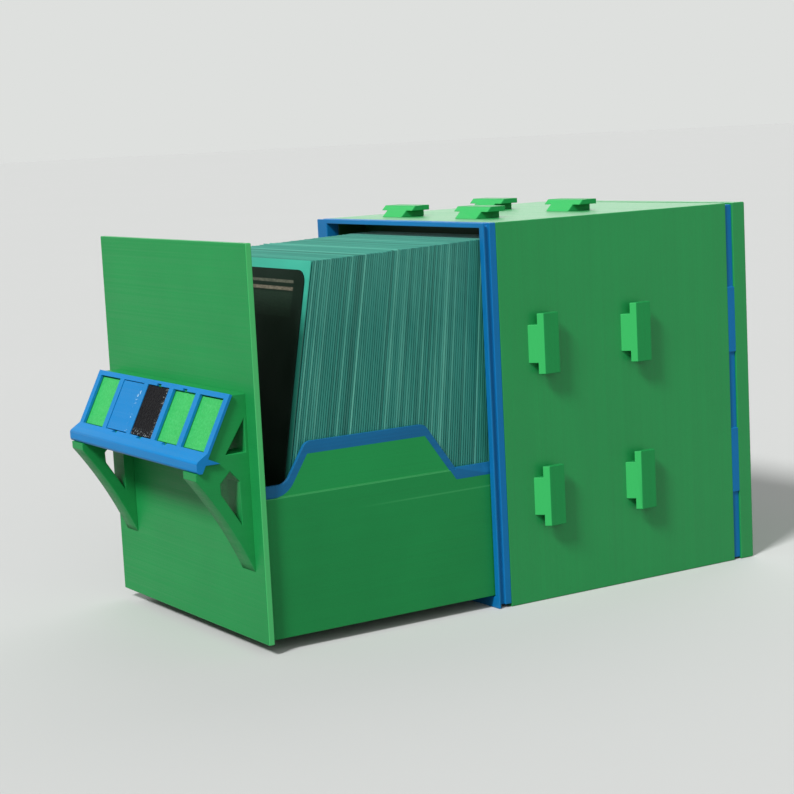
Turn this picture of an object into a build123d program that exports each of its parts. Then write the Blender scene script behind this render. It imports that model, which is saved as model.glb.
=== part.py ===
"""Stackable drawer box for sleeved trading cards, shown with its drawer pulled out.

Millimetres. +Z is up, +X is across the mouth, and the mouth faces -Y.
The origin is the centre of the case's underside.
"""
import os
from math import cos, radians, sin

from build123d import *

os.makedirs("parts", exist_ok=True)

# ------------------------------------------------------------------ cards, which set the width and height of all else
SLEEVE_WIDTH = 66.6
SLEEVE_HEIGHT = 90.5
SLEEVE_THICK = 0.5
SLEEVE_TOP_PITCH = 0.62
SLEEVE_SIDE_GAP = 0.3
SLEEVE_SEAT = 0.1
CARD_WIDTH = SLEEVE_WIDTH - 3.6
CARD_HEIGHT = SLEEVE_HEIGHT - 2.5
CARD_THICK = 0.3
CARD_CORNER = 3.2
CARD_TOP_MARGIN = 1.9
FRONT_SLEEVE_THICK = 0.25
FILM_GAP = 0.08
FRONT_CARD_GAP = 0.6
FRONT_LEAN = 11.3
FRONT_BOW = 3.7
LEAN_FALLOFF = 1.5
STACK_GAP = 0.35
STACK_END_ROOM = 1.0

# ------------------------------------------------------------------ walls, floors and running clearances
WALL_RIGHT = 1.9
WALL_LEFT = 5.4
WALL_TOP = 1.2
FLOOR = 3.0
TRAY_WALL = 1.4
TRAY_FLOOR = 1.2
TRAY_BACK_THICK = 1.6
RUN_CLEAR = 0.3
HEAD_CLEAR = 0.4
TAIL_CLEAR = 3.2
SIDE_ROOM = 6.7
HEAD_ROOM = 3.8

# ------------------------------------------------------------------ case sizes
CASE_WIDTH = WALL_LEFT + RUN_CLEAR + TRAY_WALL + SLEEVE_WIDTH + SIDE_ROOM + TRAY_WALL + RUN_CLEAR + WALL_RIGHT
CASE_DEPTH = 88.0
CASE_HEIGHT = FLOOR + RUN_CLEAR + TRAY_FLOOR + SLEEVE_HEIGHT + HEAD_ROOM + WALL_TOP

# bezel round the mouth, from the front: flange, groove, flush band
FLANGE_THICK = 0.6
GROOVE_WIDTH = 1.3
GROOVE_DEPTH = 0.8
BAND_WIDTH = 2.0
BEZEL_FOOT_RISE = 0.9

# recessed collar and back panel
COLLAR_WIDTH = 2.4
COLLAR_RECESS = 0.5
COLLAR_KEY_LOW = 19.4
COLLAR_KEY_PITCH = 39.4
COLLAR_KEY_HEIGHT = 18.1
BACK_THICK = 4.7
BACK_RELIEF = 0.35

# T-shaped joining clips and the sockets that take a neighbour's clips
CLIP_START = 12.5
CLIP_PITCH_Y = 30.5
CLIP_LENGTH = 7.8
CLIP_STEM_RISE = 1.73
CLIP_CAP_RISE = 1.37
CLIP_STEM_WIDTH = 10.1
CLIP_CAP_WIDTH = 15.9
SIDE_CLIP_LOW_Z = 28.0
SIDE_CLIP_PITCH_Z = 40.0
TOP_CLIP_X = -2.9
TOP_CLIP_PITCH_X = 37.0
SOCKET_CLEAR = 0.3

# ------------------------------------------------------------------ drawer sizes
DRAWER_OUT = 67.8
PANEL_INSET = 0.15
PANEL_LOW = 2.7
PANEL_WIDTH = CASE_WIDTH - 2 * PANEL_INSET
PANEL_HEIGHT = CASE_HEIGHT - PANEL_LOW
PANEL_THICK = 1.6
PANEL_CLEAR = 0.3
TRAY_LENGTH = CASE_DEPTH - BACK_THICK - TAIL_CLEAR + PANEL_CLEAR
LEDGE_STEP = 0.35
RIM_FRONT_Z = 35.3
RIM_HIGH_Z = 45.0
RIM_REAR_Z = 32.7
RIM_BAND = 3.0
RIM_SLOPE_BAND = 2.1
RIM_RISE_START = 6.8
RIM_RISE_END = 13.0
RIM_FALL_START = 47.4
RIM_FALL_END = 56.1
RIM_ROUND = 2.5
RIM_HOLLOW_ROUND = 3.6
BEVEL_START = 56.0
BEVEL_FULL = 64.5
BEVEL_DROP = 2.3
BEVEL_IN = 0.8

# ------------------------------------------------------------------ handle and label
LABEL_SLOPE = 27.0
LABEL_TOP_Z = 61.7
LABEL_TOP_OUT = 4.5
FRAME_THICK = 0.7
FRAME_TOP_BAND = 1.3
FRAME_END_BAND = 2.2
POCKET_DEPTH = 2.2
WINDOW_COUNT = 5
WINDOW_WIDTH = 12.4
WINDOW_HEIGHT = 13.7
WINDOW_PITCH = 14.8
LABEL_HALF_WIDTH = (WINDOW_COUNT - 1) / 2 * WINDOW_PITCH + WINDOW_WIDTH / 2 + FRAME_END_BAND
PRY_NOTCH_WIDTH = 2.4
PRY_NOTCH_DEPTH = 0.6
LIP_REACH = 3.1
LIP_DROP = 2.0
LIP_THICK = 2.8
LIP_ROUND = 0.9
HOOK_DOWN = 16.3
HOOK_HEIGHT = 1.6
HOOK_REACH = 3.85
HOOK_ROOT = 0.3
BACKING_THICK = 3.5
BRACKET_INSET = 0.8
BRACKET_HALF_SPAN = LABEL_HALF_WIDTH - BRACKET_INSET
BRACKET_THICK = 7.0
BRACKET_NOSE = 1.8
BRACKET_DROP = 44.2
BRACKET_SAG = 0.9
# corners of the two cut-outs in a bracket: distance out from the panel, and down from the label's top
UPPER_CUT = [(0.8, 6.5), (0.8, 14.5), (6.1, 14.5)]
LOWER_CUT = [(5.3, 18.7), (8.0, 21.4), (7.9, 24.1), (2.8, 32.1), (2.8, 21.5)]
TILE_CLEAR = 0.2
TILE_THIN = 1.2
TILE_THICK = 1.9

# ------------------------------------------------------------------ places worked out from the sizes
mouth_y = -CASE_DEPTH / 2
bezel_end_y = mouth_y + FLANGE_THICK + GROOVE_WIDTH + BAND_WIDTH
back_start_y = mouth_y + CASE_DEPTH - BACK_THICK
collar_start_y = back_start_y - COLLAR_WIDTH
shell_length = collar_start_y - bezel_end_y

inner_left = -CASE_WIDTH / 2 + WALL_LEFT
inner_right = CASE_WIDTH / 2 - WALL_RIGHT
inner_width = inner_right - inner_left
inner_mid_x = (inner_left + inner_right) / 2
inner_height = CASE_HEIGHT - FLOOR - WALL_TOP
inner_mid_z = FLOOR + inner_height / 2

clip_rise = CLIP_STEM_RISE + CLIP_CAP_RISE
clip_ys = [mouth_y + CLIP_START, mouth_y + CLIP_START + CLIP_PITCH_Y]
side_clip_zs = [SIDE_CLIP_LOW_Z, SIDE_CLIP_LOW_Z + SIDE_CLIP_PITCH_Z]
top_clip_xs = [TOP_CLIP_X - TOP_CLIP_PITCH_X / 2, TOP_CLIP_X + TOP_CLIP_PITCH_X / 2]

panel_front_y = mouth_y - DRAWER_OUT
panel_rear_y = panel_front_y + PANEL_THICK
panel_low_z = CASE_HEIGHT - PANEL_HEIGHT
tray_left = inner_left + RUN_CLEAR
tray_right = inner_right - RUN_CLEAR
tray_width = tray_right - tray_left
tray_mid_x = (tray_left + tray_right) / 2
tray_low_z = FLOOR + RUN_CLEAR
tray_floor_z = tray_low_z + TRAY_FLOOR
tray_back_y = panel_rear_y + TRAY_LENGTH
tray_top_z = CASE_HEIGHT - WALL_TOP - HEAD_CLEAR


# ------------------------------------------------------------------ shared profiles
def ring_section(depth_in=0.0):
    """End view of the case, drawn in by depth_in all round, less the opening."""
    with BuildSketch() as section:
        with Locations((0, CASE_HEIGHT / 2)):
            Rectangle(CASE_WIDTH - 2 * depth_in, CASE_HEIGHT - 2 * depth_in)
        with Locations((inner_mid_x, inner_mid_z)):
            Rectangle(inner_width, inner_height, mode=Mode.SUBTRACT)
    return section.sketch


# ------------------------------------------------------------------ case: bezel
with BuildPart() as front_bezel:
    with BuildSketch(Plane.XZ.offset(-mouth_y)):
        add(ring_section())
    extrude(amount=-FLANGE_THICK)
    with BuildSketch(Plane.XZ.offset(-mouth_y - FLANGE_THICK)):
        add(ring_section(GROOVE_DEPTH))
    extrude(amount=-GROOVE_WIDTH)
    with BuildSketch(Plane.XZ.offset(-bezel_end_y + BAND_WIDTH)):
        add(ring_section())
    extrude(amount=-BAND_WIDTH)
    # the bottom rail behind the flange stands clear of the table
    with BuildSketch(Plane.XY):
        with Locations((0, mouth_y + FLANGE_THICK)):
            Rectangle(CASE_WIDTH, GROOVE_WIDTH + BAND_WIDTH, align=(Align.CENTER, Align.MIN))
    extrude(amount=BEZEL_FOOT_RISE, mode=Mode.SUBTRACT)
front_bezel.part.label = "front_bezel"
export_step(front_bezel.part, "parts/front_bezel.step")

# ------------------------------------------------------------------ case: shell
slot_length = CLIP_LENGTH + 2 * SOCKET_CLEAR
pocket_length = CLIP_LENGTH + 2 * SOCKET_CLEAR
socket_skin = CLIP_STEM_RISE - SOCKET_CLEAR
socket_depth = clip_rise + SOCKET_CLEAR
cap_slot = CLIP_CAP_WIDTH + 2 * SOCKET_CLEAR
stem_slot = CLIP_STEM_WIDTH + 2 * SOCKET_CLEAR

with BuildPart() as case_shell:
    with BuildSketch(Plane.XZ.offset(-bezel_end_y)):
        add(ring_section())
    extrude(amount=-shell_length)
    # keyhole sockets in the left wall: a wide pocket, then a slot with wider room behind its skin
    for y in clip_ys:
        for z in side_clip_zs:
            with BuildSketch(Plane.YZ.offset(-CASE_WIDTH / 2)):
                with Locations((y - SOCKET_CLEAR + slot_length, z)):
                    Rectangle(pocket_length, cap_slot, align=(Align.MIN, Align.CENTER))
                with Locations((y - SOCKET_CLEAR, z)):
                    Rectangle(slot_length, stem_slot, align=(Align.MIN, Align.CENTER))
            extrude(amount=socket_depth, mode=Mode.SUBTRACT)
            with BuildSketch(Plane.YZ.offset(-CASE_WIDTH / 2 + socket_skin)):
                with Locations((y - SOCKET_CLEAR, z)):
                    Rectangle(slot_length, cap_slot, align=(Align.MIN, Align.CENTER))
            extrude(amount=socket_depth - socket_skin, mode=Mode.SUBTRACT)
    # the same sockets in the floor, which is thinner, so they open into the case
    for y in clip_ys:
        for x in top_clip_xs:
            with BuildSketch(Plane.XY):
                with Locations((x, y - SOCKET_CLEAR + slot_length)):
                    Rectangle(cap_slot, pocket_length, align=(Align.CENTER, Align.MIN))
                with Locations((x, y - SOCKET_CLEAR)):
                    Rectangle(stem_slot, slot_length, align=(Align.CENTER, Align.MIN))
            extrude(amount=FLOOR, mode=Mode.SUBTRACT)
            with BuildSketch(Plane.XY.offset(socket_skin)):
                with Locations((x, y - SOCKET_CLEAR)):
                    Rectangle(cap_slot, slot_length, align=(Align.CENTER, Align.MIN))
            extrude(amount=FLOOR - socket_skin, mode=Mode.SUBTRACT)
case_shell.part.label = "case_shell"
export_step(case_shell.part, "parts/case_shell.step")

# ------------------------------------------------------------------ case: clips
# one T clip, standing on Z = 0: a stem and a wider cap, with one 45 degree ramp on their front ends
with BuildPart() as joining_clip:
    with BuildSketch(Plane.YZ):
        with BuildLine():
            Polyline(
                (0, 0),
                (CLIP_LENGTH, 0),
                (CLIP_LENGTH, CLIP_STEM_RISE),
                (CLIP_STEM_RISE, CLIP_STEM_RISE),
                close=True,
            )
        make_face()
    extrude(amount=CLIP_STEM_WIDTH / 2, both=True)
    with BuildSketch(Plane.YZ):
        with BuildLine():
            Polyline(
                (CLIP_STEM_RISE, CLIP_STEM_RISE),
                (CLIP_LENGTH, CLIP_STEM_RISE),
                (CLIP_LENGTH, clip_rise),
                (clip_rise, clip_rise),
                close=True,
            )
        make_face()
    extrude(amount=CLIP_CAP_WIDTH / 2, both=True)

with BuildPart() as side_clips:
    with Locations(*[Location((CASE_WIDTH / 2, y, z), (0, 90, 0)) for y in clip_ys for z in side_clip_zs]):
        add(joining_clip.part)
side_clips.part.label = "side_clips"
export_step(side_clips.part, "parts/side_clips.step")

with BuildPart() as top_clips:
    with Locations(*[Location((x, y, CASE_HEIGHT)) for y in clip_ys for x in top_clip_xs]):
        add(joining_clip.part)
top_clips.part.label = "top_clips"
export_step(top_clips.part, "parts/top_clips.step")

# ------------------------------------------------------------------ case: collar and back
with BuildPart() as rear_collar:
    with BuildSketch(Plane.XZ.offset(-collar_start_y)):
        add(ring_section(COLLAR_RECESS))
    extrude(amount=-COLLAR_WIDTH)
    # keys that fill the recess flush, two on each side
    for key_z in (COLLAR_KEY_LOW, COLLAR_KEY_LOW + COLLAR_KEY_PITCH):
        with BuildSketch(Plane.XY.offset(key_z)):
            with Locations((-CASE_WIDTH / 2, collar_start_y)):
                Rectangle(WALL_LEFT, COLLAR_WIDTH, align=(Align.MIN, Align.MIN))
            with Locations((CASE_WIDTH / 2, collar_start_y)):
                Rectangle(WALL_RIGHT, COLLAR_WIDTH, align=(Align.MAX, Align.MIN))
        extrude(amount=COLLAR_KEY_HEIGHT)
rear_collar.part.label = "rear_collar"
export_step(rear_collar.part, "parts/rear_collar.step")

with BuildPart() as back_panel:
    with BuildSketch(Plane.XZ.offset(-back_start_y)):
        with Locations((0, CASE_HEIGHT / 2)):
            Rectangle(CASE_WIDTH, CASE_HEIGHT)
    extrude(amount=-BACK_THICK)
    chamfer(back_panel.faces().sort_by(Axis.Y)[-1].edges(), BACK_RELIEF)
back_panel.part.label = "back_panel"
export_step(back_panel.part, "parts/back_panel.step")

# ------------------------------------------------------------------ drawer: front panel
with BuildPart() as front_panel:
    with BuildSketch(Plane.XZ.offset(-panel_front_y)):
        with Locations((0, panel_low_z)):
            Rectangle(PANEL_WIDTH, PANEL_HEIGHT, align=(Align.CENTER, Align.MIN))
    extrude(amount=-PANEL_THICK)
front_panel.part.label = "front_panel"
export_step(front_panel.part, "parts/front_panel.step")

# ------------------------------------------------------------------ drawer: tray
# side rim, as distances behind the panel's rear face and heights over the panel's low edge
rim_top = [
    (0, RIM_FRONT_Z + RIM_BAND),
    (RIM_RISE_START, RIM_FRONT_Z + RIM_BAND),
    (RIM_RISE_END, RIM_HIGH_Z + RIM_BAND),
    (RIM_FALL_START, RIM_HIGH_Z + RIM_BAND),
    (RIM_FALL_END, RIM_REAR_Z + RIM_BAND),
    (TRAY_LENGTH - TRAY_BACK_THICK, RIM_REAR_Z + RIM_BAND),
]
rise_slope = (RIM_RISE_END - RIM_RISE_START) / (RIM_HIGH_Z - RIM_FRONT_Z)
fall_slope = (RIM_FALL_END - RIM_FALL_START) / (RIM_HIGH_Z - RIM_REAR_Z)
rim_low = [
    (0, RIM_FRONT_Z),
    (RIM_RISE_START + RIM_SLOPE_BAND - RIM_BAND * rise_slope, RIM_FRONT_Z),
    (RIM_RISE_END + RIM_SLOPE_BAND - RIM_BAND * rise_slope, RIM_HIGH_Z),
    (RIM_FALL_START - RIM_SLOPE_BAND + RIM_BAND * fall_slope, RIM_HIGH_Z),
    (RIM_FALL_END - RIM_SLOPE_BAND + RIM_BAND * fall_slope, RIM_REAR_Z),
    (TRAY_LENGTH - TRAY_BACK_THICK, RIM_REAR_Z),
]


def tray_point(point):
    """Side-view point of the drawer, from panel distances to model Y and Z."""
    return (panel_rear_y + point[0], panel_low_z + point[1])


def rise_corner(corners, point):
    """The corner of a side view that lies at a tray point."""
    y, z = tray_point(point)
    return [v for v in corners if abs(v.X - y) < 0.01 and abs(v.Y - z) < 0.01]


with BuildPart() as drawer_tray:
    # floor
    with BuildSketch(Plane.XY.offset(tray_low_z)):
        with Locations((tray_mid_x, panel_rear_y)):
            Rectangle(tray_width, TRAY_LENGTH, align=(Align.CENTER, Align.MIN))
    extrude(amount=TRAY_FLOOR)
    # side walls up to the trim
    for wall_x in (tray_left, tray_right - TRAY_WALL):
        with BuildSketch(Plane.YZ.offset(wall_x)):
            with BuildLine():
                Polyline(
                    (panel_rear_y, tray_low_z),
                    *[tray_point(p) for p in rim_low],
                    (tray_back_y - TRAY_BACK_THICK, tray_low_z),
                    close=True,
                )
            make_face()
            fillet(rise_corner(vertices(), rim_low[1]), RIM_HOLLOW_ROUND + RIM_BAND)
        extrude(amount=TRAY_WALL)
    # tall back wall, which keeps the drawer from tipping out of the mouth
    with BuildSketch(Plane.XZ.offset(-(tray_back_y - TRAY_BACK_THICK))):
        with Locations((tray_mid_x, tray_low_z)):
            Rectangle(tray_width, tray_top_z - tray_low_z, align=(Align.CENTER, Align.MIN))
    extrude(amount=-TRAY_BACK_THICK)
    # the walls are thinner above the ledge line
    for wall_x in (tray_left, tray_right - LEDGE_STEP):
        with BuildSketch(Plane.XY.offset(panel_low_z + RIM_FRONT_Z)):
            with Locations((wall_x, panel_rear_y)):
                Rectangle(LEDGE_STEP, RIM_FALL_END, align=(Align.MIN, Align.MIN))
        extrude(amount=RIM_HIGH_Z - RIM_FRONT_Z, mode=Mode.SUBTRACT)
drawer_tray.part.label = "drawer_tray"
export_step(drawer_tray.part, "parts/drawer_tray.step")


# ------------------------------------------------------------------ drawer: rim trims
rear_top_z = panel_low_z + RIM_REAR_Z + RIM_BAND
with BuildPart() as rim_trim_right:
    with BuildSketch(Plane.YZ.offset(tray_right - TRAY_WALL)):
        with BuildLine():
            Polyline(
                *[tray_point(p) for p in rim_top],
                *[tray_point(p) for p in reversed(rim_low)],
                close=True,
            )
        make_face()
        fillet(rise_corner(vertices(), rim_top[1]), RIM_HOLLOW_ROUND)
        fillet(rise_corner(vertices(), rim_low[1]), RIM_HOLLOW_ROUND + RIM_BAND)
        fillet(vertices().group_by(Axis.Y)[-1], RIM_ROUND)
    extrude(amount=TRAY_WALL)
    # thinner, like the wall under it, as far as the rear low part
    with BuildSketch(Plane.XY.offset(panel_low_z + RIM_FRONT_Z)):
        with Locations((tray_right, panel_rear_y)):
            Rectangle(LEDGE_STEP, RIM_FALL_END, align=(Align.MAX, Align.MIN))
    extrude(amount=RIM_HIGH_Z - RIM_FRONT_Z + RIM_BAND, mode=Mode.SUBTRACT)
    # bevel that grows along the rear low part, then stays even
    for y, drop in ((BEVEL_START, BEVEL_DROP / 100), (BEVEL_FULL, BEVEL_DROP)):
        with BuildSketch(Plane.XZ.offset(-(panel_rear_y + y))):
            with BuildLine():
                Polyline(
                    (tray_right, rear_top_z),
                    (tray_right, rear_top_z - drop),
                    (tray_right - BEVEL_IN * drop / BEVEL_DROP, rear_top_z),
                    close=True,
                )
            make_face()
    loft(mode=Mode.SUBTRACT)
    with BuildSketch(Plane.XZ.offset(-(panel_rear_y + BEVEL_FULL))):
        with BuildLine():
            Polyline(
                (tray_right, rear_top_z),
                (tray_right, rear_top_z - BEVEL_DROP),
                (tray_right - BEVEL_IN, rear_top_z),
                close=True,
            )
        make_face()
    extrude(amount=-TRAY_LENGTH, mode=Mode.SUBTRACT)
rim_trim_right.part.label = "rim_trim_right"
export_step(rim_trim_right.part, "parts/rim_trim_right.step")

with BuildPart() as rim_trim_left:
    mirror(rim_trim_right.part, about=Plane.YZ.offset(tray_mid_x))
rim_trim_left.part.label = "rim_trim_left"
export_step(rim_trim_left.part, "parts/rim_trim_left.step")

# ------------------------------------------------------------------ handle: side view
slope_sin = sin(radians(LABEL_SLOPE))
slope_cos = cos(radians(LABEL_SLOPE))
label_top_y = panel_front_y - LABEL_TOP_OUT
label_top_z = panel_low_z + LABEL_TOP_Z
window_end = FRAME_TOP_BAND + WINDOW_HEIGHT


def on_label(down, behind):
    """Side-view point a distance down the label's slope and a distance behind its face."""
    y = label_top_y - down * slope_sin + behind * slope_cos
    z = label_top_z - down * slope_cos - behind * slope_sin
    return (y, z)


lip_top = on_label(window_end, 0)
lip_tip = (lip_top[0] - LIP_REACH, lip_top[1] - LIP_DROP)
lip_low_z = lip_tip[1] - LIP_THICK
seat_top = on_label(0, FRAME_THICK)
seat_low_down = (seat_top[1] - lip_low_z) / slope_cos
seat_low = on_label(seat_low_down, FRAME_THICK)
backing_top = on_label(0, FRAME_THICK + BACKING_THICK)
backing_low = (seat_low[0] + BACKING_THICK / slope_cos, lip_low_z)
nose_y = lip_tip[0]
foot_z = label_top_z - BRACKET_DROP
window_xs = [(i - (WINDOW_COUNT - 1) / 2) * WINDOW_PITCH for i in range(WINDOW_COUNT)]
label_plane = Plane(
    origin=(0, label_top_y, label_top_z),
    x_dir=(1, 0, 0),
    z_dir=(0, -slope_cos, slope_sin),
)


def window_row():
    """The label's windows, drawn on its face."""
    with BuildSketch() as row:
        with Locations(*[(x, -FRAME_TOP_BAND) for x in window_xs]):
            Rectangle(WINDOW_WIDTH, WINDOW_HEIGHT, align=(Align.CENTER, Align.MAX))
    return row.sketch


# lower edge of a bracket: a shallow hollow curve from the nose to the foot
nose_low = (nose_y, lip_low_z - BRACKET_NOSE)
foot = (panel_front_y, foot_z)
edge_length = ((foot[0] - nose_low[0]) ** 2 + (foot[1] - nose_low[1]) ** 2) ** 0.5
edge_mid = (
    (nose_low[0] + foot[0]) / 2 + BRACKET_SAG * (nose_low[1] - foot[1]) / edge_length,
    (nose_low[1] + foot[1]) / 2 + BRACKET_SAG * (foot[0] - nose_low[0]) / edge_length,
)

with BuildPart() as bracket_right:
    with BuildSketch(Plane.YZ.offset(BRACKET_HALF_SPAN - BRACKET_THICK)):
        with BuildLine():
            Polyline(foot, (panel_front_y, seat_top[1]), seat_top, seat_low, (nose_y, lip_low_z), nose_low)
            ThreePointArc(nose_low, edge_mid, foot)
        make_face()
        # cut-outs that lighten it: a triangle over its cross web, a five-sided one under it
        for cut in (UPPER_CUT, LOWER_CUT):
            with BuildLine():
                Polyline(*[(panel_front_y - out, label_top_z - down) for out, down in cut], close=True)
            make_face(mode=Mode.SUBTRACT)
    extrude(amount=BRACKET_THICK)
    # the end window's pocket
    with BuildSketch(label_plane.offset(-FRAME_THICK)):
        add(window_row())
    extrude(amount=FRAME_THICK - POCKET_DEPTH, mode=Mode.SUBTRACT)
bracket_right.part.label = "bracket_right"
export_step(bracket_right.part, "parts/bracket_right.step")

with BuildPart() as bracket_left:
    mirror(bracket_right.part, about=Plane.YZ)
bracket_left.part.label = "bracket_left"
export_step(bracket_left.part, "parts/bracket_left.step")

# ------------------------------------------------------------------ handle: backing between the brackets
backing_half = BRACKET_HALF_SPAN - BRACKET_THICK
with BuildPart() as label_backing:
    with BuildSketch(Plane.YZ.offset(-backing_half)):
        with BuildLine():
            Polyline(
                (panel_front_y, seat_top[1]),
                seat_top,
                seat_low,
                backing_low,
                backing_top,
                (panel_front_y, backing_top[1] - (panel_front_y - backing_top[0])),
                close=True,
            )
        make_face()
    extrude(amount=2 * backing_half)
    # pockets that hold the tiles
    with BuildSketch(label_plane.offset(-FRAME_THICK)):
        add(window_row())
    extrude(amount=FRAME_THICK - POCKET_DEPTH, mode=Mode.SUBTRACT)
label_backing.part.label = "label_backing"
export_step(label_backing.part, "parts/label_backing.step")

# ------------------------------------------------------------------ handle: blue label frame with its lip
with BuildPart() as label_frame:
    with BuildSketch(Plane.YZ.offset(-LABEL_HALF_WIDTH)):
        with BuildLine():
            Polyline(
                on_label(0, 0),
                lip_top,
                lip_tip,
                (lip_tip[0], lip_low_z),
                seat_low,
                seat_top,
                close=True,
            )
        make_face()
        fillet(vertices().group_by(Axis.X)[0], LIP_ROUND)
    extrude(amount=2 * LABEL_HALF_WIDTH)
    # small hooks at both ends that grip the brackets' outer sides
    hook_low = on_label(HOOK_DOWN + HOOK_HEIGHT, FRAME_THICK)
    for hook_x in (-LABEL_HALF_WIDTH, BRACKET_HALF_SPAN):
        with BuildSketch(Plane.YZ.offset(hook_x)):
            with BuildLine():
                Polyline(
                    on_label(HOOK_DOWN, FRAME_THICK - HOOK_ROOT),
                    on_label(HOOK_DOWN, FRAME_THICK),
                    (hook_low[0] + HOOK_REACH, hook_low[1]),
                    hook_low,
                    on_label(HOOK_DOWN + HOOK_HEIGHT, FRAME_THICK - HOOK_ROOT),
                    close=True,
                )
            make_face()
        extrude(amount=LABEL_HALF_WIDTH - BRACKET_HALF_SPAN)
    with BuildSketch(label_plane):
        add(window_row())
    extrude(amount=-FRAME_THICK, mode=Mode.SUBTRACT)
    # pry notches under the middle windows and over two of them
    with BuildSketch(label_plane.offset(PRY_NOTCH_DEPTH)):
        with Locations(*[(x, -window_end + PRY_NOTCH_DEPTH) for x in window_xs[1:4]]):
            Rectangle(PRY_NOTCH_WIDTH, 2 * PRY_NOTCH_DEPTH, align=(Align.CENTER, Align.MAX))
        with Locations(*[(x, -FRAME_TOP_BAND + PRY_NOTCH_DEPTH) for x in window_xs[2:4]]):
            Rectangle(PRY_NOTCH_WIDTH, 2 * PRY_NOTCH_DEPTH, align=(Align.CENTER, Align.MAX))
    extrude(amount=-FRAME_THICK - PRY_NOTCH_DEPTH, mode=Mode.SUBTRACT)
label_frame.part.label = "label_frame"
export_step(label_frame.part, "parts/label_frame.step")

# ------------------------------------------------------------------ label tiles
tile_backs = TILE_CLEAR - POCKET_DEPTH
tile_thicks = [TILE_THIN, TILE_THICK, TILE_THICK, TILE_THIN, TILE_THIN]
for number, (x, thick) in enumerate(zip(window_xs, tile_thicks), start=1):
    with BuildPart() as tile:
        with BuildSketch(label_plane.offset(tile_backs)):
            with Locations((x, -FRAME_TOP_BAND - TILE_CLEAR)):
                Rectangle(
                    WINDOW_WIDTH - 2 * TILE_CLEAR,
                    WINDOW_HEIGHT - 2 * TILE_CLEAR,
                    align=(Align.CENTER, Align.MAX),
                )
        extrude(amount=thick)
    tile.part.label = f"tile_{number}"
    export_step(tile.part, f"parts/tile_{number}.step")

# ------------------------------------------------------------------ cards
sleeve_right = tray_right - TRAY_WALL - SLEEVE_SIDE_GAP
sleeve_mid_x = sleeve_right - SLEEVE_WIDTH / 2


def bowed_sheet(low, lean, bow, start, end, near, far):
    """Side view of a bowed sheet between two distances along its chord and two behind its front face."""
    along = (sin(radians(lean)), cos(radians(lean)))

    def at(distance, behind):
        share = distance / SLEEVE_HEIGHT
        back = behind - 4 * bow * share * (1 - share)
        return (low[0] + distance * along[0] + back * along[1], low[1] + distance * along[1] - back * along[0])

    middle = (start + end) / 2
    with BuildSketch() as sheet:
        with BuildLine():
            ThreePointArc(at(start, near), at(middle, near), at(end, near))
            Line(at(end, near), at(end, far))
            ThreePointArc(at(end, far), at(middle, far), at(start, far))
            Line(at(start, far), at(start, near))
        make_face()
    return sheet.sketch


front_pack = CARD_THICK + FILM_GAP + FRONT_SLEEVE_THICK
front_low = (
    panel_rear_y + FRONT_CARD_GAP,
    tray_floor_z + SLEEVE_SEAT + front_pack * sin(radians(FRONT_LEAN)),
)
card_start = SLEEVE_HEIGHT - CARD_TOP_MARGIN - CARD_HEIGHT

with BuildPart() as front_sleeve:
    with BuildSketch(Plane.YZ.offset(sleeve_mid_x)):
        add(bowed_sheet(front_low, FRONT_LEAN, FRONT_BOW, 0, SLEEVE_HEIGHT, CARD_THICK + FILM_GAP, front_pack))
    extrude(amount=SLEEVE_WIDTH / 2, both=True)
front_sleeve.part.label = "front_sleeve"
export_step(front_sleeve.part, "parts/front_sleeve.step")

with BuildPart() as front_card:
    with BuildSketch(Plane.YZ.offset(sleeve_mid_x)):
        add(bowed_sheet(front_low, FRONT_LEAN, FRONT_BOW, 0, SLEEVE_HEIGHT, 0, CARD_THICK))
    extrude(amount=CARD_WIDTH / 2, both=True)
    # the card's outline, with its rounded corners, seen from the front
    with BuildSketch(Plane.XZ.offset(-panel_front_y)):
        with Locations((sleeve_mid_x, front_low[1] + (card_start + CARD_HEIGHT / 2) * cos(radians(FRONT_LEAN)))):
            RectangleRounded(CARD_WIDTH, CARD_HEIGHT * cos(radians(FRONT_LEAN)), CARD_CORNER)
    extrude(amount=-TRAY_LENGTH, mode=Mode.INTERSECT)
front_card.part.label = "front_card"
export_step(front_card.part, "parts/front_card.step")

stack_top_y = front_low[0] + SLEEVE_HEIGHT * sin(radians(FRONT_LEAN)) + front_pack + STACK_GAP
sleeve_count = int((tray_back_y - TRAY_BACK_THICK - STACK_END_ROOM - stack_top_y) / SLEEVE_TOP_PITCH)
sheets = []
for i in range(sleeve_count):
    share = i / sleeve_count
    lean = FRONT_LEAN * (1 - share**LEAN_FALLOFF)
    low_y = stack_top_y + i * SLEEVE_TOP_PITCH - SLEEVE_HEIGHT * sin(radians(lean))
    low_z = tray_floor_z + SLEEVE_SEAT + SLEEVE_THICK * sin(radians(lean))
    sheets.append(bowed_sheet((low_y, low_z), lean, FRONT_BOW * (1 - share), 0, SLEEVE_HEIGHT, 0, SLEEVE_THICK))

with BuildPart() as card_stack:
    with BuildSketch(Plane.YZ.offset(sleeve_mid_x)):
        add(sheets)
    extrude(amount=SLEEVE_WIDTH / 2, both=True)
card_stack.part.label = "card_stack"
export_step(card_stack.part, "parts/card_stack.step")
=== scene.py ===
"""Looks for the trading card drawer box: materials, card sheets, rounded edges, light, floor and camera."""
from math import cos, radians, sin
from random import Random

import bpy
from mathutils import Matrix, Vector


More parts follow.
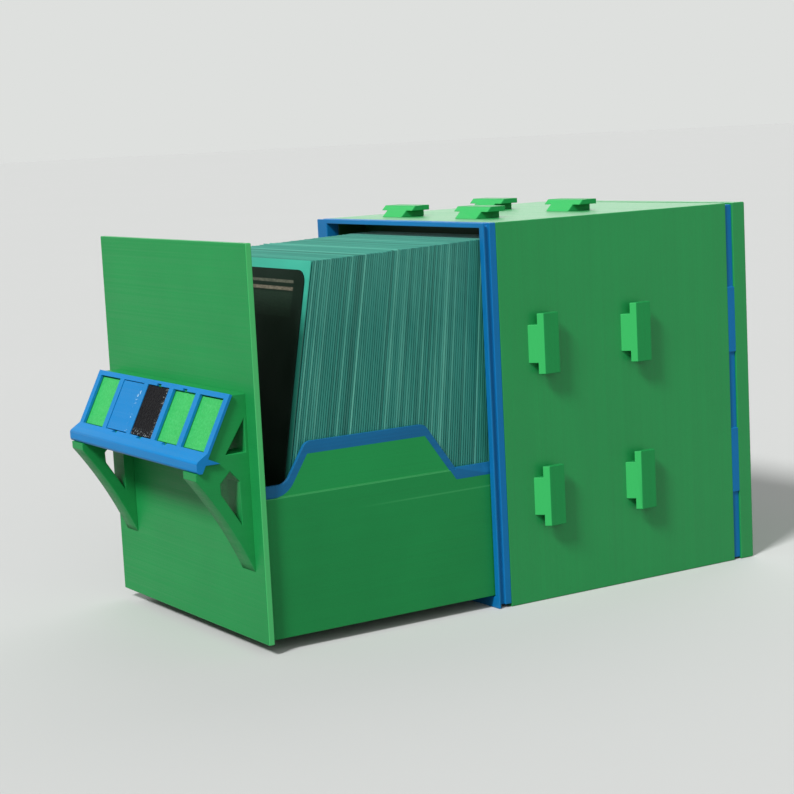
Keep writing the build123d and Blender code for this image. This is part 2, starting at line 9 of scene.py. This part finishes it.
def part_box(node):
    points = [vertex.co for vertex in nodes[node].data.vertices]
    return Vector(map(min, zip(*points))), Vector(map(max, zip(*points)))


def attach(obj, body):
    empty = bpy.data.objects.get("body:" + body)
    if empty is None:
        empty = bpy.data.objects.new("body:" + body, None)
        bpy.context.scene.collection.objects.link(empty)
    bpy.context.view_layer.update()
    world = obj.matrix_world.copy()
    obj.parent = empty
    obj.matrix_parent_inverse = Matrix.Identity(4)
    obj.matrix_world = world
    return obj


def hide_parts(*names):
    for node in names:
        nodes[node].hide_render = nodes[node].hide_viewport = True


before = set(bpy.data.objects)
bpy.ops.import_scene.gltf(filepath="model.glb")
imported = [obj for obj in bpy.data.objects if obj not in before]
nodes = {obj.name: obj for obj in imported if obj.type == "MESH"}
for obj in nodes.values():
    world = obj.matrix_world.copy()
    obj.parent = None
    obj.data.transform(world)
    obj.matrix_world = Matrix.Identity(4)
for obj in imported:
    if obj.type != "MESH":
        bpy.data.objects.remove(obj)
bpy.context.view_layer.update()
MM = 0.001


# ------------------------------ colours
def channel(value):
    """One linear channel from an 8-bit sRGB value."""
    share = value / 255
    return share / 12.92 if share <= 0.04045 else ((share + 0.055) / 1.055) ** 2.4


def linear(red, green, blue):
    """Linear colour from 8-bit sRGB values."""
    return tuple(channel(value) for value in (red, green, blue))


def opaque(colour, k=1.0):
    """A colour with full opacity, made darker or lighter."""
    return (*[min(1.0, c * k) for c in colour], 1.0)


GREEN = linear(28, 147, 75)
DRAWER_GREEN = opaque(GREEN, 0.92)[:3]
RAMP_HIGHLIGHT = linear(58, 190, 100)
PANEL_END_HIGHLIGHT = linear(96, 214, 128)
LEDGE_HIGHLIGHT = linear(84, 184, 114)
TILE_GREEN = linear(50, 180, 88)
MOTTLE_GREEN = linear(84, 204, 120)
BLUE = linear(8, 114, 176)
TRIM_BLUE = linear(16, 102, 152)
TILE_BLUE = linear(12, 128, 196)
SPECK_GLINT = linear(190, 220, 232)
TILE_BLACK = (0.003, 0.003, 0.004)
TILE_CHARCOAL = (0.016, 0.015, 0.017)
GLINT_GREY = linear(176, 184, 186)
TEAL = linear(46, 136, 122)
TEAL_LIGHT = linear(92, 176, 158)
TEAL_DARK = linear(34, 110, 98)
TEAL_LIT_TOP = linear(152, 202, 184)
FILM_BRIGHT = linear(66, 184, 160)
FILM_DEEP = linear(32, 104, 90)
CARD_BLACK = linear(12, 24, 18)
CARD_DARK = linear(20, 34, 27)
FLOOR_PALE = (0.64, 0.65, 0.64)
BACKDROP = linear(222, 224, 222)


# ------------------------------ helpers
def even(value):
    """The same value along X, Y and Z."""
    return (value, value, value)


class Paint:
    """One procedural material, built node by node."""

    def __init__(self, name, roughness, specular):
        self.material = bpy.data.materials.new(name)
        self.material.use_nodes = True
        self.tree = self.material.node_tree
        self.shader = self.tree.nodes["Principled BSDF"]
        self.shader.inputs["Roughness"].default_value = roughness
        self.shader.inputs["Specular IOR Level"].default_value = specular
        self.coordinates = self.add("TexCoord").outputs
        self.place = self.coordinates["Object"]
        self.tint = None

    def plug(self, value, socket):
        """Puts a number or another node's result into a socket."""
        if isinstance(value, bpy.types.NodeSocket):
            self.tree.links.new(value, socket)
        else:
            socket.default_value = value

    def add(self, kind, settings=None, **sockets):
        """A new node, with its settings and what goes into its named sockets."""
        node = self.tree.nodes.new("ShaderNode" + kind)
        for key, value in (settings or {}).items():
            setattr(node, key, value)
        for key, value in sockets.items():
            self.plug(value, node.inputs[key])
        return node

    def math(self, kind, a, b=0.0, clamp=False):
        """One sum on two values, kept between 0 and 1 if clamp is set."""
        node = self.add("Math", {"operation": kind, "use_clamp": clamp})
        self.plug(a, node.inputs[0])
        self.plug(b, node.inputs[1])
        return node.outputs[0]

    def plus(self, a, b, clamp=False):
        return self.math("ADD", a, b, clamp)

    def minus(self, a, b):
        return self.math("SUBTRACT", a, b)

    def times(self, a, b, clamp=False):
        return self.math("MULTIPLY", a, b, clamp)

    def larger(self, a, b):
        return self.math("MAXIMUM", a, b)

    def noise(self, per_mm, detail=2.0, rough=0.5, shift=0.0):
        """Noise with its own number of cells to a millimetre along X, Y and Z."""
        scale = [cells / MM for cells in per_mm]
        stretch = self.add("Mapping", Vector=self.place, Scale=scale, Location=even(shift))
        noise = self.add("TexNoise", Vector=stretch.outputs[0], Scale=1.0, Detail=detail, Roughness=rough)
        return noise.outputs["Fac"]

    def remap(self, value, low, high, out_low=0.0, out_high=1.0):
        """Goes from out_low to out_high, and no further, as the value goes from low to high."""
        node = self.add("MapRange", Value=value)
        ends = {"From Min": low, "From Max": high, "To Min": out_low, "To Max": out_high}
        for socket, end in ends.items():
            node.inputs[socket].default_value = end
        return node.outputs[0]

    def spread(self, noise, out_low=0.0, out_high=1.0):
        """Noise, which keeps to the middle of its range, spread over a range of its own."""
        return self.remap(noise, 0.3, 0.7, out_low, out_high)

    def mix(self, share, a, b):
        """Colour a where share is 0 and colour b where it is 1."""
        node = self.add("Mix", {"data_type": "RGBA"})
        self.plug(share, node.inputs[0])
        self.plug(a, node.inputs[6])
        self.plug(b, node.inputs[7])
        return node.outputs[2]

    def bump(self, height, strength, distance_mm):
        """Relief, added to any that is there."""
        normal = self.shader.inputs["Normal"]
        node = self.add("Bump", Height=height, Strength=strength, Distance=distance_mm * MM)
        if normal.links:
            self.plug(normal.links[0].from_socket, node.inputs["Normal"])
        self.plug(node.outputs[0], normal)

    def part(self, axis):
        """Place on an axis of the part, in metres."""
        return self.add("SeparateXYZ", Vector=self.place).outputs[axis]

    def facing(self, axis, low=0.5, high=0.8):
        """1 where the surface faces along an axis of the part, or against it if low and high are negative."""
        normal = self.add("SeparateXYZ", Vector=self.coordinates["Normal"])
        return self.remap(normal.outputs[axis], low, high)

    def along(self, axis, low_mm, high_mm, out_low=0.0, out_high=1.0):
        """Goes from out_low to out_high between two places on an axis, in millimetres."""
        return self.remap(self.part(axis), low_mm * MM, high_mm * MM, out_low, out_high)

    def within(self, axis, at_mm, half_mm, fade_mm):
        """1 as far as half_mm from a place on an axis, and 0 from fade_mm further on."""
        away = self.math("ABSOLUTE", self.minus(self.part(axis), at_mm * MM))
        return self.remap(away, (half_mm + fade_mm) * MM, half_mm * MM)

    def colour(self, value):
        self.tint = value
        self.plug(value, self.shader.inputs["Base Color"])

    def cover(self, share, colour, k=1.0):
        """Lays a colour over the one that is there, fully where share is 1."""
        self.colour(self.mix(share, self.tint, opaque(colour, k)))

    def rough(self, value):
        self.plug(value, self.shader.inputs["Roughness"])


# cells to a millimetre in the noise of printed layers, across them and along them
LAYER_FINE = (2.2, 0.012)
LAYER_BROAD = (0.55, 0.006)
CASE_HIGH = 100.0


def layered(layers, across, along):
    """Cells to a millimetre along X, Y and Z, for layers stacked along one of them."""
    return [across if axis == layers else along for axis in "XYZ"]


def printed(name, colour, layers, rough=0.50, streak=0.05, cloud=0.05, grain=0.10, specular=0.25, low_shade=0.0):
    """Printed plastic, its layers stacked along one axis.

    It has faint streaks, soft clouding and fine grain, and painted shade makes it darker low down and a
    little lighter high up.
    """
    p = Paint(name, rough, specular)
    fine = p.noise(layered(layers, *LAYER_FINE), 1.0)
    broad = p.noise(layered(layers, *LAYER_BROAD), 2.0, shift=3.1)
    soft = p.noise(even(0.05), 3.0, shift=7.7)
    specks = p.noise(even(2.6), 2.0, shift=1.3)
    share = p.plus(p.spread(fine, -streak, streak), p.spread(broad, -streak, streak))
    share = p.plus(share, p.spread(soft, -cloud, cloud))
    share = p.plus(share, p.spread(specks, -0.03, 0.03))
    # painted shade: darker low down, where less light reaches, and a little lighter high up
    share = p.plus(share, p.along("Z", 0.0, CASE_HIGH, 0.5 - low_shade, 0.5 + low_shade * 0.3), clamp=True)
    p.colour(p.mix(share, opaque(colour, 0.5), opaque(colour, 1.5)))
    p.rough(p.remap(p.plus(fine, specks), 0.7, 1.3, rough - 0.07, rough + 0.07))
    p.bump(fine, 0.16, 0.12)
    p.bump(specks, grain, 0.10)
    return p


def dress(paint, *names):
    """Gives CAD nodes a material."""
    for name in names:
        for slot in nodes[name].material_slots:
            slot.material = paint.material


def soften(width_mm, *names):
    """Small rounded edges that catch the light."""
    for name in names:
        weld = nodes[name].modifiers.new("weld", "WELD")
        weld.merge_threshold = 0.002 * MM
        bevel = nodes[name].modifiers.new("edges", "BEVEL")
        bevel.width = width_mm * MM
        bevel.segments = 2
        bevel.limit_method = "ANGLE"
        bevel.angle_limit = radians(28)
        bevel.harden_normals = True


# ------------------------------ deep shade on the walls over the cards
SHADE_Z = (88.0, 93.0)
SHADE_DEPTH = 0.85
SHADE_TONE = 0.1
# the space between the case's inner walls: its middle, half its width, its back and its top
INNER_MIDDLE_X = 1.75
INNER_HALF = 38.5
INNER_BACK_Y = 39.4
INNER_TOP_Z = 99.0
# where the drawer's sides pass into its back wall
BACK_WALL_Y = (-36.0, -33.0)


def deep_shade(p, where):
    """Darkens the green near the top of the case's inside, where hardly any light gets in."""
    p.cover(p.times(p.times(where, p.along("Z", *SHADE_Z)), SHADE_DEPTH, clamp=True), GREEN, SHADE_TONE)


# ------------------------------ case: green plastic
def case_green():
    p = printed("case_green", GREEN, "Y", rough=0.42, streak=0.02, cloud=0.03, specular=0.45, low_shade=0.04)
    between = p.within("X", INNER_MIDDLE_X, INNER_HALF, 0.2)
    under_top = p.along("Z", INNER_TOP_Z + 0.3, INNER_TOP_Z)
    before_back = p.along("Y", INNER_BACK_Y + 0.2, INNER_BACK_Y)
    deep_shade(p, p.times(p.times(between, under_top), before_back))
    return p


# ------------------------------ clips: a painted highlight on their ramps towards the mouth, which face the light
def clip_green():
    p = printed("clip_green", GREEN, "Y", streak=0.02, low_shade=0.10)
    p.cover(p.times(p.facing("Y", -0.55, -0.66), 0.8), RAMP_HIGHLIGHT)
    return p


# ------------------------------ drawer tray: painted highlights, a line along its ledge and a faint one under it
LEDGE_Z = 38.0
LEDGE_FADE = 0.3
FAINT_Z = 32.4
FAINT_Y = (-84.0, -66.0)
LINE_HALF = 0.12
LINE_FADE = 0.16


def drawer_green():
    """The wall over the ledge is a little lighter than the wall under it."""
    p = printed("drawer_green", DRAWER_GREEN, "Z", streak=0.012, cloud=0.04, low_shade=0.10)
    outward = p.facing("X")
    over_ledge = p.along("Z", LEDGE_Z - LEDGE_FADE, LEDGE_Z + LEDGE_FADE, 0.0, 0.22)
    p.cover(p.times(over_ledge, outward), GREEN, 1.5)
    # painted highlights: a lit line along the ledge's edge and a fainter one under it
    ledge = p.times(p.within("Z", LEDGE_Z, LINE_HALF, LINE_FADE), 0.60)
    faint = p.times(p.within("Z", FAINT_Z, LINE_HALF, LINE_FADE), p.along("Y", *FAINT_Y, 0.0, 0.28))
    p.cover(p.times(p.larger(ledge, faint), outward, clamp=True), LEDGE_HIGHLIGHT)
    deep_shade(p, p.along("Y", *BACK_WALL_Y))
    return p


# ------------------------------ front panel: a painted highlight on its right end, which catches the light
def panel_green():
    p = printed("panel_green", GREEN, "Z", streak=0.015, cloud=0.04, low_shade=0.08)
    p.cover(p.times(p.facing("X"), 0.6), PANEL_END_HIGHLIGHT)
    return p


# ------------------------------ green tiles: mottled
def tile_green():
    p = printed("tile_green", TILE_GREEN, "Z", streak=0.0, cloud=0.06, grain=0.6)
    mottle = p.noise(even(1.7), 3.0, 0.6, shift=9.0)
    p.cover(p.remap(mottle, 0.40, 0.70, 0.0, 0.55), MOTTLE_GREEN)
    return p


# ------------------------------ blue tile: small painted glints towards its right edge
def tile_blue():
    right_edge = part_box("tile_2")[1].x / MM
    p = printed("tile_blue", TILE_BLUE, "Z", streak=0.0, grain=0.35)
    near_edge = p.along("X", right_edge - 2.2, right_edge - 1.0)
    specks = p.remap(p.noise(even(1.5), 1.0, shift=5.0), 0.64, 0.67)
    p.cover(p.times(near_edge, specks, clamp=True), SPECK_GLINT)
    return p


# ------------------------------ black tile: ragged, with glints by its right edge and foot
def tile_black():
    low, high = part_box("tile_3")
    p = Paint("tile_black", 0.5, 0.04)
    ragged = p.noise(even(1.1), 3.0, 0.7)
    fine = p.noise(even(2.2), 2.0, shift=2.0)
    p.colour(p.mix(p.remap(fine, 0.35, 0.65), opaque(TILE_BLACK), opaque(TILE_CHARCOAL)))
    by_edge = p.along("X", high.x / MM - 1.9, high.x / MM - 0.7)
    by_foot = p.along("Z", low.z / MM + 2.6, low.z / MM + 1.4)
    spots = p.remap(p.noise(even(2.4), 2.0, 0.6, shift=4.4), 0.60, 0.63)
    glint = p.times(p.larger(by_edge, by_foot), spots, clamp=True)
    p.cover(p.times(glint, 0.8), GLINT_GREY)
    p.rough(p.spread(fine, 0.4, 0.6))
    p.bump(ragged, 0.8, 0.7)
    p.bump(fine, 0.6, 0.2)
    return p


# ------------------------------ which node wears what
case_blue = printed("case_blue", BLUE, "Y", streak=0.02)
handle_green = printed("handle_green", GREEN, "Z", streak=0.02, cloud=0.04, low_shade=0.10)
trim_blue = printed("drawer_blue", TRIM_BLUE, "Z", streak=0.05, cloud=0.07, grain=0.35)
label_blue = printed("label_blue", TILE_BLUE, "Z", streak=0.02, grain=0.22)

dress(case_green(), "case_shell", "back_panel")
dress(clip_green(), "side_clips", "top_clips")
dress(case_blue, "front_bezel", "rear_collar")
dress(drawer_green(), "drawer_tray")
dress(panel_green(), "front_panel")
dress(handle_green, "bracket_left", "bracket_right", "label_backing")
dress(trim_blue, "rim_trim_left", "rim_trim_right")
dress(label_blue, "label_frame")
dress(tile_green(), "tile_1", "tile_4", "tile_5")
dress(tile_blue(), "tile_2")
dress(tile_black(), "tile_3")

# ------------------------------ sleeved cards: leaning sheets pinched at their sides
SLEEVE_WIDE = 66.6
SLEEVE_HIGH = 91.0
SHEET_PITCH = 0.62
SHEET_THICK = 0.58
# the pinched seams: how wide they are, and where they begin and end in the sheet's thickness
SEAM_WIDE = 0.3
SEAM_NEAR = 0.12
SEAM_FAR = 0.46
CARD_WIDE = 63.0
CARD_HIGH = 88.0
CARD_ROUND = 3.2
CARD_THICK = 0.3
CARD_LOW = 0.6
FILM_BEHIND = 0.38
FILM_THICK = 0.25
# the lean at the front, how much of it is lost at the back and how late, and the front sheets' bow
LEAN = radians(10.0)
LEAN_LOSS = 0.6
LEAN_POWER = 1.4
BOW = 0.35
# where the front card's foot stands, and the room that it takes before the row begins
FIRST_LOW_Y = -108.4
SEAT_Z = 4.6
SEAT_LIFT = 0.5
FRONT_PACK = 0.63
PACK_GAP = 0.35
# the row grows this much in height towards the back
BACK_RISE = 0.7
SLEEVE_STEPS = (0.0, 18.0, 36.0, 54.0, 72.0, 84.0)
stack_low, stack_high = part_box("card_stack")
sheet_x = (stack_low.x + stack_high.x) / 2 / MM


def sleeve_section(half):
    """Across a sleeved card: flat over the card and pinched to a seam at both sides."""
    flat = half - SEAM_WIDE
    behind = ((-half, SEAM_NEAR), (-half, SEAM_FAR), (-flat, SHEET_THICK), (flat, SHEET_THICK))
    before = ((half, SEAM_FAR), (half, SEAM_NEAR), (flat, 0.0), (-flat, 0.0))
    return behind + before


def flat_section(near, thick):
    """Across a plain sheet."""
    return lambda half: ((-half, near), (-half, near + thick), (half, near + thick), (half, near))


def sleeve_levels(top):
    """Heights along a sleeve, each with half the width there."""
    return [(height, SLEEVE_WIDE / 2) for height in (*SLEEVE_STEPS, top)]


class Sheets:
    """Closed leaning sheets in one mesh, each with its own tint."""

    def __init__(self):
        self.points = []
        self.faces = []
        self.tints = []

    def add(self, low, lean, bow, levels, section, tint=0.5, shift=0.0):
        """One sheet from its foot at low, as Y and Z, with one ring of points at each level."""
        for level, (along, half) in enumerate(levels):
            ring = section(half)
            start, size = len(self.points), len(ring)
            share = along / SLEEVE_HIGH
            for x, behind in ring:
                back = behind - 4 * bow * share * (1 - share)
                y = low[0] + along * sin(lean) + back * cos(lean)
                z = low[1] + along * cos(lean) - back * sin(lean)
                self.points.append(((sheet_x + shift + x) * MM, y * MM, z * MM))
                self.tints.append(tint)
            if level == 0:
                self.faces.append(tuple(range(start, start + size)))
                continue
            for k in range(size):
                n = (k + 1) % size
                self.faces.append((start - size + k, start + k, start + n, start - size + n))
        self.faces.append(tuple(reversed(range(start, start + size))))

    def piece(self, name, node, body, paint):
        """Makes the sheets one piece that stands for a CAD node."""
        mesh = bpy.data.meshes.new(name)
        mesh.from_pydata(self.points, [], self.faces)
        mesh.attributes.new("tint", "FLOAT", "POINT").data.foreach_set("value", self.tints)
        mesh.materials.append(paint.material)
        piece = bpy.data.objects.new(name, mesh)
        bpy.context.scene.collection.objects.link(piece)
        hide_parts(node)
        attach(piece, body)


# ------------------------------ the row of sleeved cards
LIT_HIGH_Z = (76.0, 93.0)


def sleeve_stack():
    """Edges of sleeves, each in its own tone, with painted light: paler higher up, where light gets in over
    the front panel, and on top.
    """
    p = Paint("sleeve_stack", 0.38, 0.5)
    sheet = p.add("Attribute", {"attribute_name": "tint"}).outputs["Fac"]
    unevenness = p.noise((0.02, 0.35, 0.035), 2.0, shift=4.0)
    level = p.plus(sheet, p.spread(unevenness, -0.10, 0.10), clamp=True)
    dark_half = p.mix(p.remap(level, 0.0, 0.5), opaque(TEAL_DARK), opaque(TEAL))
    p.colour(p.mix(p.remap(level, 0.5, 1.0), dark_half, opaque(TEAL_LIGHT)))
    # painted light: paler higher up, where light gets in over the front panel
    p.cover(p.along("Z", *LIT_HIGH_Z, 0.0, 0.18), TEAL_LIGHT)
    # painted highlight on the sleeves' tops, which face the light
    lit_tops = p.times(p.facing("Z", 0.4, 0.7), p.remap(sheet, 0.0, 1.0, 0.85, 1.0))
    p.cover(lit_tops, TEAL_LIT_TOP)
    p.bump(p.noise((0.3, 0.3, 0.02), 2.0, shift=6.0), 0.25, 0.3)
    return p


# sheets that stand out: share of the way back, tint from dark 0 to bright 1, and how far the top stands up
MARKED = (
    (0.01, 0.80, 0.0),
    (0.045, 0.75, 0.0),
    (0.10, 0.3, 0.0),
    (0.225, 0.08, 0.0),
    (0.240, 0.04, -0.05),
    (0.262, 1.0, 0.05),
    (0.33, 0.4, -0.15),
    (0.36, 0.5, -0.1),
    (0.385, 0.6, 0.22),
    (0.40, 0.1, 0.0),
    (0.415, 0.85, 0.2),
    (0.50, 0.2, 0.0),
    (0.585, 0.75, 0.0),
    (0.685, 0.85, 0.05),
    (0.735, 0.7, 0.0),
    (0.79, 0.2, -0.05),
    (0.865, 0.9, 0.0),
)
TINT_MIDDLE = 0.45
TINT_SPREAD = 0.11
RISE_RANGE = (-0.06, 0.04)
SHIFT_RANGE = (-0.05, 0.0)
SHIFT_BY_TINT = 0.06

choice = Random(11)
first_top = FIRST_LOW_Y + SLEEVE_HIGH * sin(LEAN) + FRONT_PACK + PACK_GAP
count = int((stack_high.y / MM - first_top) / SHEET_PITCH)
looks = []
for _ in range(count):
    tint = choice.gauss(TINT_MIDDLE, TINT_SPREAD)
    rise = choice.uniform(*RISE_RANGE)
    looks.append((min(1.0, max(0.0, tint)), rise))
for share, tint, rise in MARKED:
    looks[round(share * (count - 1))] = (tint, rise)

stack = Sheets()
for i, (tint, rise) in enumerate(looks):
    share = i / count
    lean = LEAN * (1 - LEAN_LOSS * share**LEAN_POWER)
    low = (first_top + i * SHEET_PITCH - SLEEVE_HIGH * sin(lean), SEAT_Z + SEAT_LIFT * sin(lean))
    levels = sleeve_levels(SLEEVE_HIGH + rise + BACK_RISE * share)
    shift = choice.uniform(*SHIFT_RANGE) + SHIFT_BY_TINT * (tint - 0.5)
    stack.add(low, lean, BOW * (1 - share), levels, sleeve_section, tint, shift)
stack.piece("card_stack_sheets", "card_stack", "drawer", sleeve_stack())


# ------------------------------ front sleeve: a film, bright only near its top, where light gets in
LIT_Z = (76.0, 86.0)


def front_film():
    p = Paint("front_film", 0.34, 0.4)
    shade = p.noise((0.05, 0.3, 0.3), 2.0)
    lit = p.mix(p.spread(shade), opaque(FILM_BRIGHT, 0.9), opaque(FILM_BRIGHT, 1.1))
    p.colour(p.mix(p.along("Z", *LIT_Z), opaque(FILM_DEEP), lit))
    p.bump(p.noise(even(0.15), 1.0), 0.2, 0.4)
    return p


front_low = (FIRST_LOW_Y, SEAT_Z + FRONT_PACK * sin(LEAN))
film = Sheets()
film.add(front_low, LEAN, BOW, sleeve_levels(SLEEVE_HIGH), flat_section(FILM_BEHIND, FILM_THICK))
film.piece("front_sleeve_film", "front_sleeve", "card", front_film())

# ------------------------------ front card: dark and glossy, with plain ruled lines by its top
# the lines and the paler field under them, each with where it begins and ends, in millimetres down from
# the card's top, and its colour
RULED = (
    (2.6, 3.3, linear(104, 104, 92)),
    (4.3, 5.1, linear(128, 118, 104)),
    (5.6, 11.5, linear(34, 50, 40)),
)
RULED_HALF = CARD_WIDE / 2 - 5.2
RULED_SIDE_FADE = 0.6
RULED_FADE = 0.1


def card_dark():
    card_top = (front_low[1] + (CARD_LOW + CARD_HIGH) * cos(LEAN)) * MM
    p = Paint("card_dark", 0.36, 0.16)
    down = p.minus(card_top, p.part("Z"))
    inside = p.within("X", sheet_x, RULED_HALF, RULED_SIDE_FADE)
    cloud = p.noise(even(0.08), 3.0)
    worn = p.remap(p.noise((0.7, 0.7, 2.5), 3.0, 0.7, shift=2.0), 0.35, 0.6, 0.45, 1.0)
    p.colour(p.mix(p.remap(cloud, 0.35, 0.65), opaque(CARD_BLACK), opaque(CARD_DARK)))
    for top, bottom, colour in RULED:
        below = p.remap(down, (top - RULED_FADE) * MM, (top + RULED_FADE) * MM)
        above = p.remap(down, (bottom + RULED_FADE) * MM, (bottom - RULED_FADE) * MM)
        strip = p.times(p.times(below, above), inside)
        p.cover(p.times(strip, worn, clamp=True), colour)
    p.rough(p.spread(cloud, 0.28, 0.42))
    p.bump(cloud, 0.15, 0.5)
    return p


def card_levels():
    """Heights along the card, each with half the width there, round at all four corners."""
    corner = []
    for turn in (0, 18, 36, 54, 72, 90):
        rise = CARD_ROUND * (1 - cos(radians(turn)))
        inset = CARD_ROUND - (CARD_ROUND**2 - (CARD_ROUND - rise) ** 2) ** 0.5
        corner.append((rise, CARD_WIDE / 2 - inset))
    foot = [(CARD_LOW + rise, half) for rise, half in corner]
    middle = [(CARD_LOW + height, CARD_WIDE / 2) for height in (24.0, 44.0, 64.0)]
    head = [(CARD_LOW + CARD_HIGH - rise, half) for rise, half in reversed(corner)]
    return foot + middle + head


face = Sheets()
face.add(front_low, LEAN, BOW, card_levels(), flat_section(0.0, CARD_THICK))
face.piece("front_card_face", "front_card", "card", card_dark())

# ------------------------------ edges
EDGE = 0.22
BACKING_EDGE = 0.15
FINE_EDGE = 0.12
soften(EDGE, "front_bezel", "case_shell", "rear_collar", "back_panel", "side_clips", "top_clips")
soften(EDGE, "front_panel", "drawer_tray", "bracket_left", "bracket_right", "label_frame")
soften(FINE_EDGE, "rim_trim_left", "rim_trim_right", "tile_1", "tile_2", "tile_3", "tile_4", "tile_5")
soften(BACKING_EDGE, "label_backing")


# ------------------------------ floor and world: pale to the eye, plain light on the object
def seen_share(tree):
    """1 for rays from the camera, off a gloss or through something clear, 0 for the light on the object."""
    rays = tree.nodes.new("ShaderNodeLightPath").outputs
    share = rays["Is Camera Ray"]
    for kind in ("Is Glossy Ray", "Is Transmission Ray"):
        larger = tree.nodes.new("ShaderNodeMath")
        larger.operation = "MAXIMUM"
        tree.links.new(share, larger.inputs[0])
        tree.links.new(rays[kind], larger.inputs[1])
        share = larger.outputs[0]
    return share


FLOOR_RADIUS = 14.0
FLOOR_DROP = 0.03
BOUNCE = 0.35
bpy.ops.mesh.primitive_circle_add(
    vertices=96,
    radius=FLOOR_RADIUS,
    fill_type="NGON",
    location=(0, 0, -FLOOR_DROP * MM),
)
floor = bpy.context.object
floor.name = "floor"
p = Paint("floor_pale", 0.7, 0.0)
pale = p.mix(p.noise(even(0.004), 2.0), opaque(FLOOR_PALE, 0.985), opaque(FLOOR_PALE))
p.colour(p.mix(seen_share(p.tree), opaque(FLOOR_PALE, BOUNCE), pale))
floor.data.materials.append(p.material)

LIGHT_WORLD = 0.23
world = bpy.data.worlds.new("studio")
bpy.context.scene.world = world
world.use_nodes = True
tree = world.node_tree
tree.nodes.clear()
lit = tree.nodes.new("ShaderNodeBackground")
lit.inputs["Color"].default_value = (1, 1, 1, 1)
lit.inputs["Strength"].default_value = LIGHT_WORLD
seen = tree.nodes.new("ShaderNodeBackground")
seen.inputs["Color"].default_value = opaque(BACKDROP)
seen.inputs["Strength"].default_value = 1.0
choose = tree.nodes.new("ShaderNodeMixShader")
tree.links.new(seen_share(tree), choose.inputs[0])
tree.links.new(lit.outputs[0], choose.inputs[1])
tree.links.new(seen.outputs[0], choose.inputs[2])
tree.links.new(choose.outputs[0], tree.nodes.new("ShaderNodeOutputWorld").inputs[0])

# ------------------------------ lamps
# a soft key from the front and above, and wide weak fills from the right and from behind, each with
# the way its light travels, its strength and the width of its source in degrees
LAMPS = (
    ("key", (-0.28, 0.66, -0.70), 3.0, 12),
    ("fill", (-0.85, 0.30, -0.42), 0.65, 60),
    ("rear_fill", (0.62, -0.62, -0.48), 0.9, 60),
)
for name, travel, power, spread in LAMPS:
    lamp = bpy.data.lights.new(name, "SUN")
    lamp.energy = power
    lamp.angle = radians(spread)
    holder = bpy.data.objects.new(name, lamp)
    holder.rotation_mode = "QUATERNION"
    holder.rotation_quaternion = Vector(travel).to_track_quat("-Z", "Y")
    bpy.context.scene.collection.objects.link(holder)

bpy.context.scene.view_settings.view_transform = "Standard"

# ------------------------------ camera
YAW = radians(58.152)
PITCH = radians(7.843)
ROLL = radians(-2.916)
EYE = (0.452959, -0.327368, 0.125598)
FOCAL_PIXELS = 1968.788
FRAME_PIXELS = 794
SENSOR_MM = 36.0
cam = bpy.data.cameras.new("camera")
cam.sensor_width = SENSOR_MM
cam.lens = FOCAL_PIXELS / FRAME_PIXELS * SENSOR_MM
cam.clip_start = 0.01
cam.clip_end = 60.0
camera = bpy.data.objects.new("camera", cam)
forward = Vector((-sin(YAW) * cos(PITCH), cos(YAW) * cos(PITCH), -sin(PITCH)))
level_right = Vector((cos(YAW), sin(YAW), 0.0))
level_up = level_right.cross(forward)
right = cos(ROLL) * level_right + sin(ROLL) * level_up
up = -sin(ROLL) * level_right + cos(ROLL) * level_up
turn = Matrix((right, up, -forward)).transposed().to_4x4()
camera.matrix_world = Matrix.Translation(EYE) @ turn
bpy.context.scene.collection.objects.link(camera)
bpy.context.scene.camera = camera
